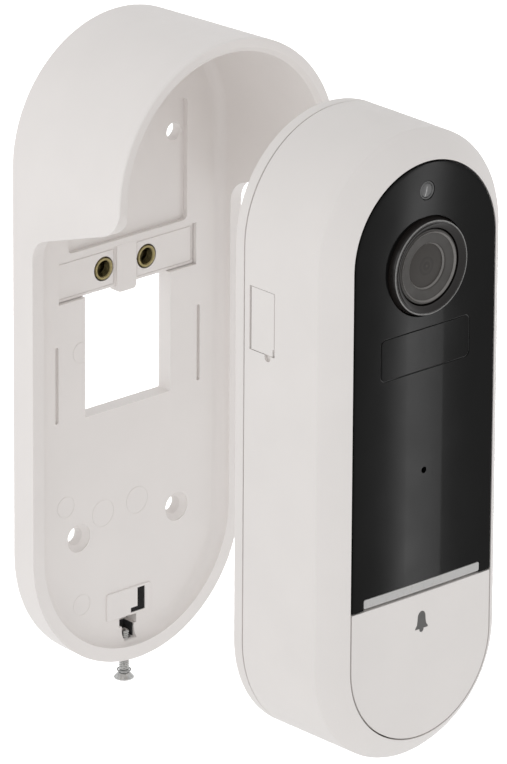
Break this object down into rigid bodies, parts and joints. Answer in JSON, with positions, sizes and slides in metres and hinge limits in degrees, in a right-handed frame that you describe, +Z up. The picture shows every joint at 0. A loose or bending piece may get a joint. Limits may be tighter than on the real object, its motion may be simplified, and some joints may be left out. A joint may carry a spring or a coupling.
{
  "type": "video doorbell",
  "caption": "Battery video doorbell beside its hooded wall mount, with a camera lens, motion window, push button, charging port cover and locking screw.",
  "frame": {"origin": "on the back face of the wall mount, on its centre line and 30 mm below the middle of its height", "axes": "+Z up along the doorbell's length, +Y into the wall, +X to the right of a visitor who faces the door"},
  "size_m": [0.065, 0.103, 0.1625],
  "materials": {
    "white_plastic": "fine matt moulded plastic",
    "panel_black": "smooth dark front panel",
    "black_gloss": "polished black bezel",
    "black_plastic": "matt black plastic",
    "smoked_clear": "milky light guide",
    "brass": "plated brass",
    "zinc_steel": "bright zinc plating",
    "circuit_board": "green solder mask",
    "cell_wrap": "shrink sleeve on a steel can",
    "rubber": "moulded rubber",
    "optic_glass": "coated dark glass",
    "sensor_package": "moulded sensor package",
    "lens_grey": "grey satin ring behind the lens",
    "magnet": "dark sintered ferrite",
    "nylon": "natural nylon"
  },
  "bodies": {
    "mount": {"mount_shell": "white_plastic", "terminal_block": "white_plastic", "brass_insert_left": "brass", "brass_insert_right": "brass", "tamper_magnet": "magnet"},
    "screw_carrier": {"screw_washer": "nylon"},
    "locking_screw": {"lock_screw": "zinc_steel"},
    "unit": {"rear_cover": "white_plastic", "cover_seal": "rubber", "front_housing": "white_plastic", "front_panel": "panel_black", "switch_body": "black_plastic", "charging_socket": "zinc_steel", "reset_switch": "black_plastic", "pir_window": "black_gloss", "light_pipe": "optic_glass", "light_bar": "smoked_clear", "lens_bezel": "black_gloss", "lens_retainer": "lens_grey", "lens_element": "optic_glass", "lens_barrel": "black_plastic", "image_sensor": "sensor_package", "sensor_board": "circuit_board", "pir_sensor": "zinc_steel", "light_sensor": "sensor_package", "infrared_led_left": "optic_glass", "infrared_led_right": "optic_glass", "button_board": "circuit_board", "microphone": "zinc_steel", "microphone_gasket": "rubber", "status_led_left": "smoked_clear", "status_led_right": "smoked_clear", "main_board": "circuit_board", "wifi_module": "zinc_steel", "wifi_antenna": "brass", "tamper_sensor": "sensor_package", "battery_cradle": "black_plastic", "battery_cell_left": "cell_wrap", "battery_cell_right": "cell_wrap", "speaker": "black_plastic", "speaker_gasket": "rubber", "contact_pin_left": "brass", "contact_pin_right": "brass", "cover_screw_lower_left": "zinc_steel", "cover_screw_lower_right": "zinc_steel", "cover_screw_upper_left": "zinc_steel", "cover_screw_upper_right": "zinc_steel"},
    "push_button": {"button_cap": "white_plastic"},
    "switch": {"switch_plunger": "black_plastic"},
    "reset": {"reset_button": "black_plastic"},
    "port_flap": {"port_cover": "white_plastic"}
  },
  "joints": [
    {"name": "screw_advance", "type": "slide", "parent": "mount", "child": "screw_carrier", "axis": [0, 0, 1], "range_m": [0, 0.0063]},
    {"name": "screw_turn", "type": "hinge", "parent": "screw_carrier", "child": "locking_screw", "pos_m": [0, -0.0027, -0.04765], "axis": [0, 0, 1], "range_deg": [0, 5040]},
    {"name": "unit_slide", "type": "slide", "parent": "mount", "child": "unit", "axis": [0, 1, 0], "range_m": [0, 0.0649]},
    {"name": "button_press", "type": "slide", "parent": "unit", "child": "push_button", "axis": [0, 1, 0], "range_m": [0, 0.0005], "stiffness_N_per_m": 1500, "springref_m": -0.0008},
    {"name": "switch_press", "type": "slide", "parent": "unit", "child": "switch", "axis": [0, 1, 0], "range_m": [0, 0.0005]},
    {"name": "reset_press", "type": "slide", "parent": "unit", "child": "reset", "axis": [1, 0, 0], "range_m": [0, 0.0005], "stiffness_N_per_m": 200, "springref_m": -0.001},
    {"name": "port_cover_hinge", "type": "hinge", "parent": "unit", "child": "port_flap", "pos_m": [-0.02608, -0.07487, 0.06065], "axis": [0, 0, 1], "range_deg": [-95, 0]}
  ],
  "couplings": [
    {"joint": "screw_turn", "follows": "screw_advance", "rad_per_m": 13963},
    {"joint": "switch_press", "follows": "button_press", "ratio": 1}
  ]
}
